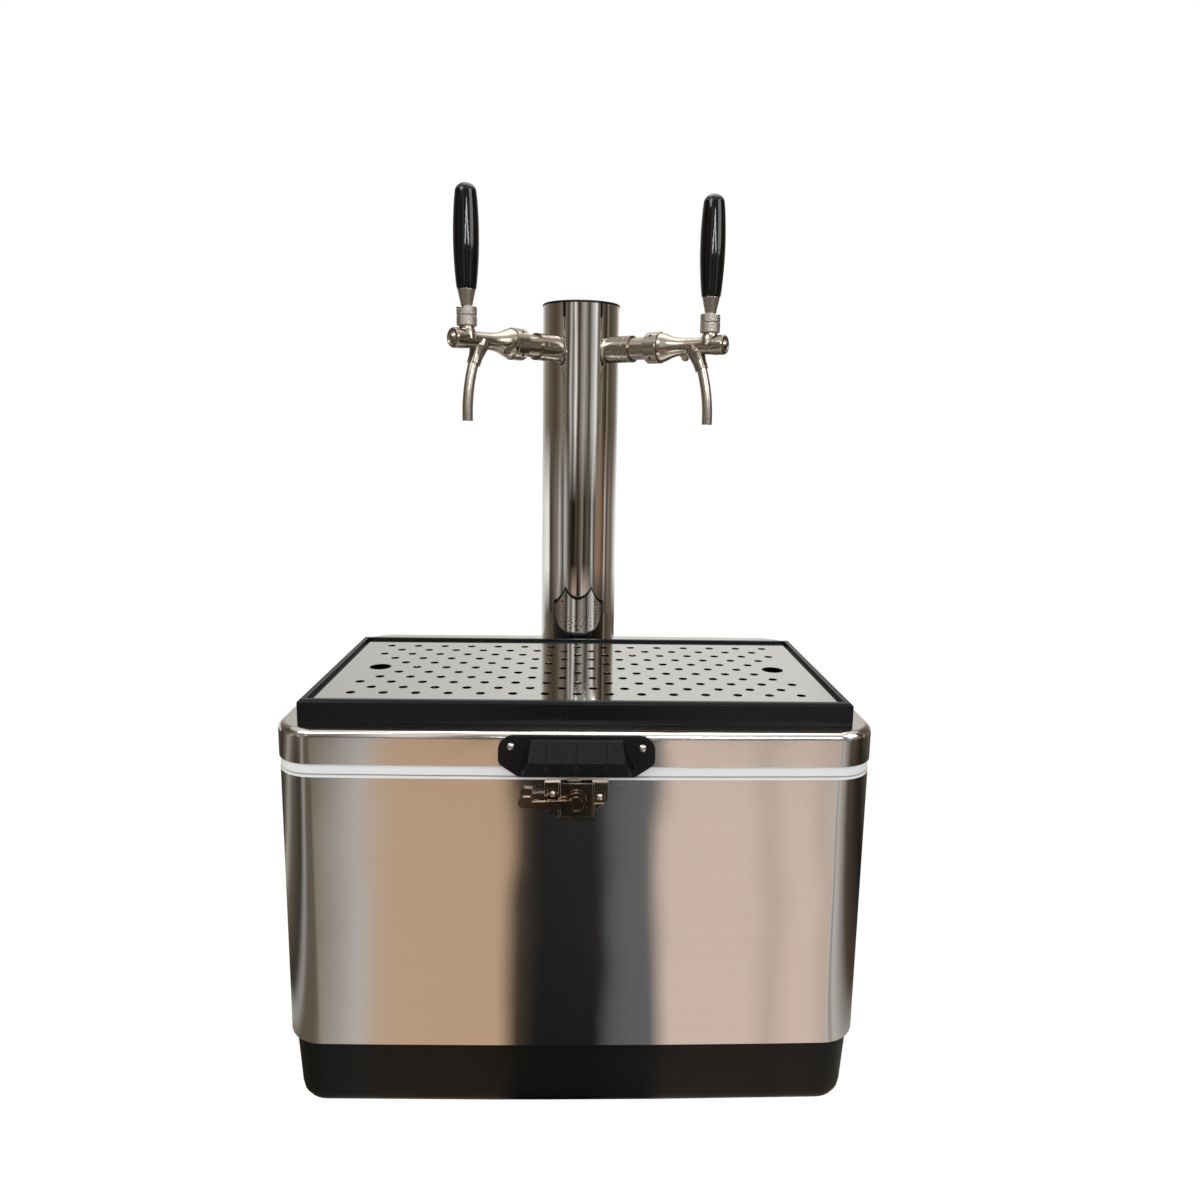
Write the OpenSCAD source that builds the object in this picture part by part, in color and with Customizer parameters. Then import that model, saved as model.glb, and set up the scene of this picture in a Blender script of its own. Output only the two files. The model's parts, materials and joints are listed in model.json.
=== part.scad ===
// Two-tap jockey box: a steel-belted ice chest with a drip tray and a tap column on its lid.
// Millimetres, +Z up, front towards -Y. The origin is the middle of the flat underside.

/* [Ice chest] */
// Width of the steel belt
body_w = 618; // [560:1:680]
// Depth of the steel belt at its ends
body_d = 432; // [400:1:480]
// How far the front and back faces bow out at mid-width
face_bow = 3; // [0:0.5:6]
// Radius of the upright corners
corner_r = 42; // [30:1:60]
// Height of the plastic base
base_h = 81; // [60:1:100]
// How far the base stands in from the belt at its top
base_inset = 5; // [2:1:10]
// How much further in the base stands at its bottom
base_taper = 4; // [0:1:10]
// Radius of the rounded bottom edge
base_edge_r = 16; // [10:1:30]
// Wall of the plastic base
base_wall = 4; // [3:0.5:6]
// Height of the body's top rim above the floor
body_h = 380.5; // [340:0.5:440]
// Thickness of the steel belt
belt_t = 0.8; // [0.5:0.1:1.5]
// Thickness of the liner's rim
rim_t = 2.2; // [1.5:0.1:4]
// Distance from the belt's outside to the ice cavity
cavity_wall = 44; // [36:1:60]
// Height of the ice cavity's floor
cavity_floor = 65; // [50:1:90]
// How much narrower the cavity is at its floor, each side
cavity_taper = 8; // [2:1:14]
// Wall of the plastic liner
liner_t = 2.5; // [1.5:0.1:4]

/* [Lid] */
// How far the lid's skin stands out past the belt
lid_overhang = 1; // [0:0.5:4]
// Gap between the body's rim and the lid's liner
lid_gap = 1; // [0.6:0.1:2]
// Height of the white band under the lid's skin
band_h = 10.5; // [8:0.5:16]
// Height of the lid's steel skin
lid_skin_h = 36; // [30:1:50]
// Radius of the skin's top edge
lid_edge_r = 8; // [4:1:12]
// Thickness of the lid's skin
skin_t = 1.2; // [0.8:0.1:2]
// Depth of the plug under the lid that fits into the cavity
plug_h = 9; // [5:1:16]
// Clearance of that plug in the cavity
plug_gap = 4; // [2:0.5:8]
// Width of the rubber seal
seal_w = 6; // [4:0.5:10]
// Radius of the hole that the beer lines take up through the lid
line_hole_r = 28; // [20:1:29]

/* [Lid handle and latch] */
// Width of the lid handle
handle_w = 158; // [120:1:180]
// Height of the lid handle
handle_h = 43.5; // [36:0.5:45]
// How far the lid handle reaches below the skin's lower edge
handle_drop = 9.5; // [2:0.5:10]
// Width of the hood's ridge
ridge_w = 96; // [80:1:110]
// How far the lid handle stands out
handle_out = 22; // [16:1:30]
// Spacing of the grooves over the handle
groove_pitch = 30; // [24:1:34]
// Width of the latch plate
latch_w = 64; // [60:1:74]
// Height of the latch plate
latch_h = 37; // [36:1:42]
// Depth of the latch plate
latch_t = 7; // [7:0.5:9]
// Length of the latch lever from its pivot
lever_len = 58; // [40:1:70]

/* [Drip tray] */
// Width of the drip tray
tray_w = 570; // [480:1:580]
// Depth of the drip tray
tray_d = 286; // [240:1:290]
// Height of the drip tray
tray_h = 25; // [18:1:32]
// Place of the tray's front edge
tray_front = -197; // [-200:1:-180]
// Width of the tray's rail
rail_w = 8; // [6:1:12]
// Thickness of the perforated plate
grate_t = 1.5; // [1:0.1:2]
// How far the plate lies under the rail's top
grate_drop = 3; // [2:0.5:5]
// Radius of the drain holes in the plate
hole_r = 5; // [3:0.5:6]
// Spacing of the holes along a row
hole_pitch = 34.3; // [30:0.1:35]
// Spacing of the rows
row_pitch = 20.85; // [18:0.05:22]
// Rows of holes
hole_rows = 11; // [7:2:11]
// Radius of the two finger holes
finger_r = 12.5; // [10:0.5:14]

/* [Tap column] */
// Outside diameter of the column
tower_d = 101.6; // [90:0.1:110]
// Wall of the column
tower_t = 1.6; // [1.2:0.1:3]
// Gap between the tray and the column
tower_gap = 14; // [13:1:20]
// Height of the column's top above the lid
tower_h = 465; // [430:1:500]
// Thickness of the black cap's rim
cap_t = 3; // [2:0.5:6]
// Thickness of the column's foot ring
flange_t = 6; // [4:0.5:8]
// Depth of the taps' axis below the column's top
tap_drop = 60; // [50:1:80]
// Direction of the left tap, in degrees about the column
left_angle = 225; // [210:1:240]
// Direction of the right tap
right_angle = 325; // [305:1:335]

/* [Taps] */
// Radius of the threaded shank
shank_r = 11; // [10:0.5:12]
// Radius of the collars against the column
collar_r = 17; // [15:0.5:18]
// Radius of the coupling nut
coupling_r = 19.5; // [18.5:0.5:22]
// Distance from the column's axis to the handle's axis
handle_reach = 192; // [188:1:200]
// Radius of the two rings under the handle
bonnet_r = 12.1; // [11.9:0.1:13]
// Outside diameter of the spout
spout_d = 12.7; // [12:0.1:14]
// Wall of the spout
spout_t = 1; // [0.8:0.1:1.5]
// Drop from the tap's axis to the spout's mouth
spout_drop = 96; // [80:1:110]
// Length of the black grip
grip_len = 119; // [90:1:140]
// Largest diameter of the grip
grip_d = 30.5; // [26:0.5:34]
// Height of the handle's ball above the tap's axis
ball_z = 22; // [21.5:0.5:22.5]
// Furthest tilt of the handle
tilt_max = 25; // [15:1:25]

/* [Carrying handles and fittings] */
// Depth of the carrying handles' pivots below the body's rim
bail_depth = 80.5; // [60:0.5:140]
// Half the distance between a handle's two legs
bail_half = 62; // [50:1:75]
// Length of a handle's legs
bail_drop = 58; // [48:1:70]
// Diameter of the handle's steel rod
bail_d = 8; // [6:0.5:10]
// Diameter of the plastic grip
bail_grip_d = 22; // [18:1:24]
// Height of the drain's axis
drain_z = 84; // [82:1:92]
// Depth of the beer inlets on the back below the body's rim
inlet_depth = 50.5; // [40:0.5:80]
// Distance of each beer inlet from the middle
inlet_x = 45; // [30:1:80]
// Length of the cold plate
plate_l = 330; // [250:1:380]
// Width of the cold plate
plate_w = 230; // [180:1:260]
// Thickness of the cold plate
plate_t = 28; // [20:1:34]
// Height of the cold plate's feet
foot_h = 8; // [5:1:12]

/* [Hidden] */
$fn = 48;

steel = "#c3c4c6";
mirror_steel = "#d6d6d4";
satin_steel = "#b4aca2";
nickel = "#a8937a";
black_plastic = "#1b1b1d";
white_plastic = "#e9e9e4";
foam_yellow = "#e8d9a8";
rubber_black = "#262626";
eps = 0.05;
fit = 0.05;
seat = 0.1;
slab = 0.01;
corner_steps = 8;
side_steps = 9;

// Body levels and outlines
belt_top = body_h - rim_t;
ledge_t = 3;
body_half_w = body_w / 2;
front_y = -(body_d / 2 + face_bow);
back_y = -front_y;
cavity_w = body_w - 2 * cavity_wall;
cavity_d = body_d - 2 * cavity_wall;
cavity_r = corner_r - 8;
cavity_edge_r = 18;

// Lid levels
lid_under = body_h + lid_gap;
skin_z = lid_under + band_h;
lid_top = skin_z + lid_skin_h;
lid_w = body_w + 2 * lid_overhang;
lid_d = body_d;
band_wall = 4;
lid_floor_t = 3;
seal_inset = 26;
seal_lift = 0.3;

// Lid handle, latch and hinge places
handle_low = skin_z - handle_drop;
handle_top = handle_low + handle_h;
handle_flange_t = 4;
handle_corner_r = 16;
handle_screw_x = handle_w / 2 - 13;
hood_half = 58;
hood_wall = 3;
groove_w = 1.8;
groove_depth = 1;
latch_top = belt_top - 1.3;
latch_z = latch_top - 19;
latch_screw_x = 23.5;
latch_skin_t = 2;
tongue_r = 12.5;
tongue_t = 2;
tongue_w = 8;
catch_r = 2;
hollow_r = 16.2;
spindle_r = 3;
hinge_x = 200;
hinge_w = 60;
hinge_r = 5;
hinge_y = back_y + 7;
hinge_z = body_h + lid_gap / 2;
pin_r = 2.5;
knuckle_gap = 0.5;
leaf_t = 2;
leaf_h = 24;

// Drip tray levels
tray_y = tray_front + tray_d / 2;
tray_top = lid_top + tray_h;
pan_floor_t = 3;
grate_z = tray_top - grate_drop - grate_t;
grate_side_gap = 4.5;
grate_end_gap = 1;
side_ledge = 12;
end_ledge = 4;
long_row = 15;
finger_x = 6.75 * hole_pitch;

// Column
tower_r = tower_d / 2;
tower_y = tray_front + tray_d + tower_gap + tower_r;
tower_top = lid_top + tower_h;
tap_z = tower_top - tap_drop;
bolt_ring_r = tower_r + 5.8;
flange_r = tower_r + 11.5;
tube_z = lid_top + flange_t;

// Stations along a tap, measured from the column's axis
shank_in = 20;
collar_end = tower_r + 13.2;
ring_end = collar_end + 18;
coupling_in = 106;
coupling_out = 125;
shank_out = 114;
tail_flange_t = 4;
tail_r = 11;
thread_r = 14;
chamber_r = 7;
chamber_end = 151;
seat_end = 154;
guide_r = 4.5;
body_end = handle_reach + 13;
cap_end = body_end + 12;
spout_x = handle_reach - 21;
flow_x = 131;
flow_hub_r = 5.4;
flow_hub_y = 18.4;
neck_top = 14.7;
ring_split = 27;
bonnet_top = 37;
ball_r = 7;
stem_r = 3.2;
arm_r = 1.7;
arm_travel = ball_z * sin(tilt_max);
tip_r = 3;
ferrule_z = bonnet_top + 0.4;
grip_z = 56.8;
ferrule_foot_r = 7;
spout_start = 24;
spout_straight = 8;
spout_turn = 19;
spout_r = spout_d / 2;
spout_bend = (spout_drop - spout_start - spout_straight) / sin(spout_turn);

// Fittings
bail_x = body_half_w + 13;
bail_z = body_h - bail_depth;
bracket_t = 3;
bracket_h = 40;
lug_half = bail_half - 12;
lug_t = 6;
inlet_z = body_h - inlet_depth;
plate_z = cavity_floor + foot_h;
drain_y = 60;
drain_bore_r = 9;

// Half-turn helpers for outlines
function arc(cx, cy, r, a0, a1) = [
  for (i = [0:corner_steps]) let (t = a0 + (a1 - a0) * i / corner_steps)
    [cx + r * cos(t), cy + r * sin(t)]
];
function bowed_side(a, b, bow, s) = [
  for (i = [1:side_steps - 1]) let (x = a * (1 - 2 * i / side_steps))
    [s * x, s * (b + bow * (1 - x * x / (a * a)))]
];

// Rounded outline with bowed long sides
module plan(w, d, r, bow) {
  a = w / 2 - r;
  b = d / 2 - r;
  polygon(concat(
    arc(a, -b, r, -90, 0), arc(a, b, r, 0, 90), bowed_side(a, d / 2, bow, 1),
    arc(-a, b, r, 90, 180), arc(-a, -b, r, 180, 270), bowed_side(a, d / 2, bow, -1)
  ));
}

// The belt's outline, drawn in by a distance
module body_plan(inset) {
  plan(body_w - 2 * inset, body_d - 2 * inset, corner_r - min(inset, corner_r / 2), face_bow);
}

module body_slab(z, h, inset) {
  translate([0, 0, z]) linear_extrude(h) body_plan(inset);
}

// Straight-sided block of the cavity's outline, drawn in by a distance
module cavity_slab(z, h, inset) {
  translate([0, 0, z]) linear_extrude(h)
    plan(cavity_w - 2 * inset, cavity_d - 2 * inset, cavity_r - min(inset, cavity_r / 2), 0);
}

// Tapered base with a round bottom edge, grown or drawn in by a wall
module base_form(wall, top) {
  hull() {
    for (t = [0:22.5:90])
      body_slab(wall + (base_edge_r - wall) * (1 - sin(t)), slab,
        base_inset + base_taper + wall + (base_edge_r - wall) * (1 - cos(t)));
    body_slab(top - slab, slab, base_inset + wall);
  }
}

// Ice cavity with a round floor edge, grown by the liner's wall
module cavity_form(wall, top) {
  hull() {
    for (t = [0:30:90])
      cavity_slab(cavity_floor - wall + (cavity_edge_r + wall) * (1 - sin(t)), slab,
        cavity_taper - wall + (cavity_edge_r + wall) * (1 - cos(t)));
    cavity_slab(top - slab, slab, -wall);
  }
}

// Pan-head screw along -Y from a point, head outwards
module front_screw(x, y, z, head_r, len) {
  translate([x, y, z]) rotate([90, 0, 0]) {
    intersection() {
      translate([0, 0, head_r * 0.6 - head_r * 1.25]) sphere(head_r * 1.25);
      cylinder(r = head_r, h = head_r);
    }
    translate([0, 0, -len]) cylinder(r = 2, h = len + eps);
  }
}

// Screw holes in the front face
module front_holes(points, y, depth) {
  for (p = points) translate([p[0], y, p[1]]) rotate([-90, 0, 0]) cylinder(r = 2.1, h = depth);
}

latch_screw_points = [[-latch_screw_x, latch_z + 6], [latch_screw_x, latch_z + 3]];
handle_screw_points = [[-handle_screw_x, handle_top - 11.5], [handle_screw_x, handle_top - 12.5]];

// A hinge screw is a short pin with a countersunk head, driven towards -Y
module back_screws(z) {
  for (s = [-1, 1], k = [-1, 1])
    translate([s * hinge_x + k * hinge_w / 3, back_y + leaf_t + seat, z]) rotate([90, 0, 0]) {
      cylinder(r = 2, h = 12);
      translate([0, 0, -1.4]) cylinder(r = 3.6, h = 1.4);
    }
}

module back_holes(z) {
  for (s = [-1, 1], k = [-1, 1])
    translate([s * hinge_x + k * hinge_w / 3, back_y + leaf_t + 1, z]) rotate([90, 0, 0])
      cylinder(r = 2.1, h = 14);
}

// Both bracket screws on each end
module end_screws(r, head) {
  for (s = [-1, 1], k = [-1, 1])
    translate([s * (body_half_w + bracket_t + seat), k * lug_half * 0.5, bail_z])
      rotate([0, s * 90, 0]) {
        translate([0, 0, -14]) cylinder(r = r, h = 14);
        if (head) cylinder(r1 = 4.5, r2 = 3.2, h = 2.4);
      }
}

/* Ice chest */

module base_pan() {
  color(black_plastic) difference() {
    union() {
      base_form(0, base_h - seat);
      // Ledge that closes the belt's lower end from inside
      body_slab(base_h - seat - slab, ledge_t, belt_t + seat);
    }
    base_form(base_wall, base_h + ledge_t + 1);
    drain_bore(drain_bore_r + 3.1);
  }
}

module steel_belt() {
  color(steel) difference() {
    body_slab(base_h, belt_top - base_h, 0);
    body_slab(base_h - 1, belt_top - base_h + 2, belt_t);
    front_holes(latch_screw_points, front_y - 2, 12);
    back_holes(belt_top - leaf_h / 2);
    end_screws(2.1, false);
    inlet_bores(8.2);
    drain_bore(drain_bore_r + 3.1);
  }
}

module body_foam() {
  color(foam_yellow) difference() {
    union() {
      base_form(base_wall + seat, base_h + ledge_t + 1);
      body_slab(base_h + ledge_t, belt_top - base_h - ledge_t - slab, belt_t + seat);
    }
    cavity_form(liner_t + seat, body_h + 1);
    front_holes(latch_screw_points, front_y - 2, 24);
    back_holes(belt_top - leaf_h / 2);
    end_screws(2.1, false);
    inlet_bores(8.2);
    drain_bore(drain_bore_r + 3.1);
  }
}

module inner_liner() {
  color(white_plastic) difference() {
    union() {
      body_slab(belt_top + slab, rim_t - slab, 0);
      cavity_form(liner_t, belt_top + 1);
    }
    cavity_form(0, body_h + 1);
    inlet_bores(8.2);
    drain_bore(drain_bore_r + 3.1);
  }
}

/* Latch */

// Hollow behind the plate in which the tongue turns
module latch_hollow() {
  translate([0, front_y - latch_t + latch_skin_t, latch_z]) rotate([-90, 0, 0])
    cylinder(r = hollow_r, h = latch_t);
  translate([-hollow_r, front_y - latch_t + latch_skin_t, latch_z])
    cube([2 * hollow_r, latch_t, latch_top - latch_z + 1]);
}

module latch_outline() {
  half = latch_w / 2;
  polygon([
    [-half, latch_top], [-half, latch_top - latch_h * 0.53], [-half + 14, latch_top - latch_h * 0.8],
    [-10, latch_top - latch_h], [10, latch_top - latch_h],
    [half - 14, latch_top - latch_h * 0.8], [half, latch_top - latch_h * 0.53], [half, latch_top]
  ]);
}

module latch_plate() {
  window_w = 11;
  window_h = 13;
  color(nickel) difference() {
    union() {
      translate([0, front_y - seat, 0]) rotate([90, 0, 0]) linear_extrude(latch_t - 3) latch_outline();
      translate([-latch_w / 2 + 14, front_y - latch_t, latch_top - latch_h + 2])
        cube([latch_w - 28, latch_t - seat, latch_h - 2]);
      for (s = [-1, 1])
        translate([s * (latch_w / 2 - 15) - 1, front_y - latch_t - 1.2, latch_top - latch_h + 3])
          cube([2, 2, latch_h - 3]);
    }
    latch_hollow();
    for (p = latch_screw_points)
      translate([p[0] - window_w / 2, front_y - latch_t - 2, p[1] - window_h / 2])
        cube([window_w, latch_t, window_h]);
    front_holes(latch_screw_points, front_y - latch_t - 1, 12);
    translate([0, front_y - latch_t - 1, latch_z]) rotate([-90, 0, 0])
      cylinder(r = spindle_r + fit, h = 6);
  }
}

// Turn lever with its ring boss, spindle, inner tongue and catch pin
module latch_lever() {
  boss_y = front_y - latch_t - 1.4;
  tongue_y = front_y - latch_t + latch_skin_t + 0.4;
  color(nickel) {
    translate([0, boss_y, latch_z]) rotate([90, 0, 0]) {
      difference() {
        cylinder(r = 11, h = 4);
        translate([0, 0, 2]) cylinder(r = 8.4, h = 3);
      }
      translate([0, 0, 1]) cylinder(r = 6.4, h = 3.6);
      translate([0, -11.5, 0]) difference() {
        cylinder(r = 3.4, h = 2.6);
        translate([0, 0, -1]) cylinder(r = 1.4, h = 5);
      }
    }
    translate([0, boss_y - 0.5, latch_z]) rotate([90, 0, 0]) linear_extrude(4.2)
      polygon([[-4, 3.6], [-lever_len + 14, 1.6], [-lever_len + 12, 7], [-lever_len + 5, 7],
        [-lever_len, 3], [-lever_len, -2], [-lever_len + 4, -4.5], [-20, -5.2], [-4, -6]]);
    for (i = [0:4])
      translate([-lever_len + 16 + 4 * i, boss_y - 4.7, latch_z + 1.4]) rotate([90, 0, 0])
        cylinder(r = 1.3, h = 1.2);
    translate([0, boss_y - 1, latch_z]) rotate([-90, 0, 0])
      cylinder(r = spindle_r, h = tongue_y + tongue_t - boss_y + 1);
    translate([-spindle_r - 1, tongue_y, latch_z - tongue_w / 2])
      cube([tongue_r + catch_r + spindle_r + 1, tongue_t, tongue_w]);
    translate([tongue_r, tongue_y + tongue_t - eps, latch_z]) rotate([-90, 0, 0])
      cylinder(r = catch_r, h = 1.7);
  }
}

// Hook on the lid that the catch pin turns in behind
module latch_keeper() {
  keeper_y = front_y - 2.1;
  shelf_top = latch_z + tongue_r - catch_r - 0.3;
  color(steel) translate([0, keeper_y, 0]) difference() {
    translate([-9, 0, shelf_top - 3]) cube([14, 1.7, skin_z + 12 - shelf_top]);
    translate([-3.4, -1, shelf_top]) cube([20, 4, 2 * catch_r + 0.8]);
    translate([1.9, -1, shelf_top - 4]) cube([20, 4, 5]);
  }
}

/* Hinges */

// Knuckles of one leaf: the outer two, or the middle one
module knuckles(outer) {
  third = hinge_w / 3;
  for (s = [-1, 1])
    translate([s * hinge_x, hinge_y, hinge_z]) rotate([0, 90, 0]) difference() {
      union() {
        if (outer) {
          translate([0, 0, -hinge_w / 2]) cylinder(r = hinge_r, h = third - knuckle_gap);
          translate([0, 0, third / 2 + knuckle_gap]) cylinder(r = hinge_r, h = third - knuckle_gap);
        }
        if (!outer)
          translate([0, 0, -third / 2 + knuckle_gap]) cylinder(r = hinge_r, h = third - 2 * knuckle_gap);
      }
      translate([0, 0, -hinge_w]) cylinder(r = pin_r + fit, h = 2 * hinge_w);
    }
}

module hinge_body_leaves() {
  third = hinge_w / 3;
  leaf_top = hinge_z - hinge_r - 1;
  color(steel) {
    knuckles(true);
    difference() {
      union() {
        for (s = [-1, 1]) {
          translate([s * hinge_x - hinge_w / 2, back_y + seat, leaf_top - leaf_h])
            cube([hinge_w, leaf_t, leaf_h]);
          for (k = [-hinge_w / 2, third / 2 + knuckle_gap])
            translate([s * hinge_x + k, back_y + seat, leaf_top - leaf_t])
              cube([third - knuckle_gap, hinge_y - back_y, leaf_t + 1.8]);
        }
      }
      back_holes(belt_top - leaf_h / 2);
      translate([-body_w, hinge_y, hinge_z]) rotate([0, 90, 0]) cylinder(r = pin_r + fit, h = 2 * body_w);
    }
  }
}

module hinge_lid_leaves() {
  third = hinge_w / 3;
  leaf_z = hinge_z + hinge_r + 1;
  color(steel) {
    knuckles(false);
    difference() {
      union() {
        for (s = [-1, 1]) {
          translate([s * hinge_x - hinge_w / 2, back_y + seat, leaf_z]) cube([hinge_w, leaf_t, leaf_h]);
          translate([s * hinge_x - third / 2 + knuckle_gap, back_y + seat, leaf_z - 1.8])
            cube([third - 2 * knuckle_gap, hinge_y - back_y, leaf_t + 1.8]);
        }
      }
      back_holes(skin_z + leaf_h / 2 - 2);
      translate([-body_w, hinge_y, hinge_z]) rotate([0, 90, 0]) cylinder(r = pin_r + fit, h = 2 * body_w);
    }
  }
}

module hinge_pins() {
  color(steel) for (s = [-1, 1])
    translate([s * hinge_x - hinge_w / 2 - 1, hinge_y, hinge_z]) rotate([0, 90, 0])
      cylinder(r = pin_r, h = hinge_w + 2);
}

module body_screws() {
  color(steel) {
    for (p = latch_screw_points) front_screw(p[0], front_y - latch_t + 5, p[1], 4, 16);
    back_screws(belt_top - leaf_h / 2);
    end_screws(2, true);
  }
}

/* Carrying handles */

module end_brackets() {
  color(steel) for (s = [-1, 1]) difference() {
    union() {
      translate([s > 0 ? body_half_w + seat : -body_half_w - seat - bracket_t, -lug_half - 10, bail_z - bracket_h / 2])
        cube([bracket_t, 2 * lug_half + 20, bracket_h]);
      for (k = [-1, 1]) translate([s * body_half_w + s * seat, k * lug_half - lug_t / 2, bail_z - 8])
        mirror([s < 0 ? 1 : 0, 0, 0]) {
          cube([bail_x - body_half_w, lug_t, 16]);
          translate([bail_x - body_half_w, lug_t, 8]) rotate([90, 0, 0]) cylinder(r = 8, h = lug_t);
        }
    }
    translate([s * bail_x, bail_half, bail_z]) rotate([90, 0, 0])
      cylinder(r = bail_d / 2 + fit, h = 2 * bail_half);
    end_screws(2.1, false);
  }
}

module end_bail() {
  rod_r = bail_d / 2;
  pin_len = bail_half - lug_half + lug_t / 2 + 1;
  for (k = [-1, 1]) {
    translate([bail_x, k * bail_half, bail_z]) rotate([k * 90, 0, 0]) cylinder(r = rod_r, h = pin_len);
    translate([bail_x, k * bail_half, bail_z]) sphere(rod_r);
    translate([bail_x, k * bail_half, bail_z - bail_drop]) cylinder(r = rod_r, h = bail_drop);
    translate([bail_x, k * bail_half, bail_z - bail_drop]) sphere(rod_r);
  }
  translate([bail_x, bail_half, bail_z - bail_drop]) rotate([90, 0, 0]) cylinder(r = rod_r, h = 2 * bail_half);
}

module end_grip() {
  grip_half = bail_half - bail_d / 2 - 2;
  translate([bail_x, 0, bail_z - bail_drop]) rotate([90, 0, 0]) rotate_extrude()
    polygon(concat(
      [[bail_d / 2 + fit, -grip_half], [bail_grip_d / 2 - 2, -grip_half]],
      [for (i = [0:8]) [bail_grip_d / 2 - 1.2 * pow(abs(i / 4 - 1), 2), (i / 4 - 1) * (grip_half - 2)]],
      [[bail_grip_d / 2 - 2, grip_half], [bail_d / 2 + fit, grip_half]]
    ));
}

module end_bail_left() { color(steel) mirror([1, 0, 0]) end_bail(); }
module end_bail_right() { color(steel) end_bail(); }
module end_grip_left() { color(black_plastic) mirror([1, 0, 0]) end_grip(); }
module end_grip_right() { color(black_plastic) end_grip(); }

/* Drain, cold plate and beer inlets */

// Level hole through the right end wall
module drain_bore(r) {
  translate([cavity_w / 2 - cavity_taper - 20, drain_y, drain_z]) rotate([0, 90, 0])
    cylinder(r = r, h = cavity_wall + cavity_taper + 60);
}

module drain_spout() {
  in_x = cavity_w / 2 - cavity_taper - 2;
  out_x = body_half_w + 14;
  color(white_plastic) difference() {
    union() {
      translate([in_x, drain_y, drain_z]) rotate([0, 90, 0]) cylinder(r = drain_bore_r + 3, h = out_x - in_x);
      translate([body_half_w + seat, drain_y, drain_z]) rotate([0, 90, 0]) cylinder(r = drain_bore_r + 7, h = 3);
    }
    drain_bore(drain_bore_r);
  }
}

// Push-in cap with a pull tab
module drain_cap() {
  out_x = body_half_w + 14;
  plug_len = 16;
  color(white_plastic) {
    translate([out_x - plug_len, drain_y, drain_z]) rotate([0, 90, 0])
      cylinder(r = drain_bore_r - fit, h = plug_len + 1);
    translate([out_x + 0.3, drain_y, drain_z]) rotate([0, 90, 0]) cylinder(r = drain_bore_r + 4.5, h = 4);
    translate([out_x + 4, drain_y - 8, drain_z - 2]) cube([6, 16, 4]);
  }
}

module cold_plate() {
  rib_pitch = 24;
  ribs = floor((plate_w - 60) / rib_pitch);
  color(steel) translate([0, 0, plate_z]) difference() {
    linear_extrude(plate_t) plan(plate_l, plate_w, 16, 0);
    for (i = [0:ribs]) translate([-plate_l / 2 + 30, (i - ribs / 2) * rib_pitch - 3, plate_t - 4])
      cube([plate_l - 60, 6, 5]);
    nipple_places() translate([0, 0, -1]) cylinder(r = 5 + fit, h = 19);
  }
}

// Four stubs on the plate's left end, two circuits in and out
module nipple_places() {
  for (y = [-1.5:1:1.5]) translate([-plate_l / 2 - 0.01, y * 42, plate_t / 2]) rotate([0, 90, 0])
    children();
}

module cold_plate_nipples() {
  color(mirror_steel) translate([0, 0, plate_z]) nipple_places() rotate_extrude()
    polygon([[3, 16], [5, 16], [5, -14], [4.4, -16], [5.4, -20], [4.4, -22], [5.4, -26], [4.2, -30], [3, -30]]);
}

module cold_plate_feet() {
  color(rubber_black) for (sx = [-1, 1], sy = [-1, 1])
    translate([sx * (plate_l / 2 - 34), sy * (plate_w / 2 - 34), cavity_floor + fit])
      cylinder(r1 = 12, r2 = 10, h = foot_h - 2 * fit);
}

// Where the cavity's sloping back wall stands at a height
function cavity_back(z) = cavity_d / 2
  - cavity_taper * (body_h + 1 - z) / (body_h + 1 - cavity_floor - cavity_edge_r);

module inlet_bores(r) {
  for (s = [-1, 1]) translate([s * inlet_x, back_y + 20, inlet_z]) rotate([90, 0, 0])
    cylinder(r = r, h = cavity_wall + face_bow + 40);
}

// Through-wall fittings with a threaded outer end and a barbed tail inside
module beer_inlets() {
  wall_in = cavity_d / 2 - 3;
  color(mirror_steel) for (s = [-1, 1])
    translate([s * inlet_x, 0, inlet_z]) rotate([-90, 0, 0]) rotate_extrude() polygon([
      [3, wall_in - 40], [4.2, wall_in - 40], [5.4, wall_in - 36], [4.4, wall_in - 32],
      [5.4, wall_in - 28], [4.4, wall_in - 24], [8, wall_in - 20], [8, back_y + seat],
      [14, back_y + seat], [14, back_y + 4], [9, back_y + 4], [9, back_y + 9],
      [7.94, back_y + 9.5], [7.94, back_y + 24], [7, back_y + 25], [3, back_y + 25]
    ]);
}

module inlet_nuts() {
  nut_r = 13;
  nut_y = cavity_back(inlet_z - nut_r) - seat;
  color(mirror_steel) for (s = [-1, 1])
    translate([s * inlet_x, nut_y, inlet_z]) rotate([90, 0, 0]) difference() {
      cylinder(r = nut_r, h = 8, $fn = 6);
      translate([0, 0, -1]) cylinder(r = 8 + fit, h = 10);
    }
}

/* Lid */

// Skin form with a rounded top edge, drawn in by a wall
module lid_form(wall, bottom) {
  edge = lid_edge_r - wall;
  hull() {
    translate([0, 0, bottom]) linear_extrude(lid_top - lid_edge_r - bottom) lid_plan(wall);
    for (t = [30:30:90])
      translate([0, 0, lid_top - wall - slab - edge * (1 - sin(t))]) linear_extrude(slab)
        lid_plan(wall + edge * (1 - cos(t)));
  }
}

module lid_plan(inset) {
  plan(lid_w - 2 * inset, lid_d - 2 * inset, corner_r - min(inset, corner_r / 2), face_bow);
}

module line_hole(r) {
  translate([0, tower_y, lid_under - plug_h - 5]) cylinder(r = r, h = lid_top - lid_under + plug_h + 10);
}

// Bolts of the column's foot, as holes or as pins
module tower_bolt_places() {
  for (a = [45:90:315]) translate([0, tower_y, 0]) rotate([0, 0, a]) translate([bolt_ring_r, 0, 0])
    children();
}

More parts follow.
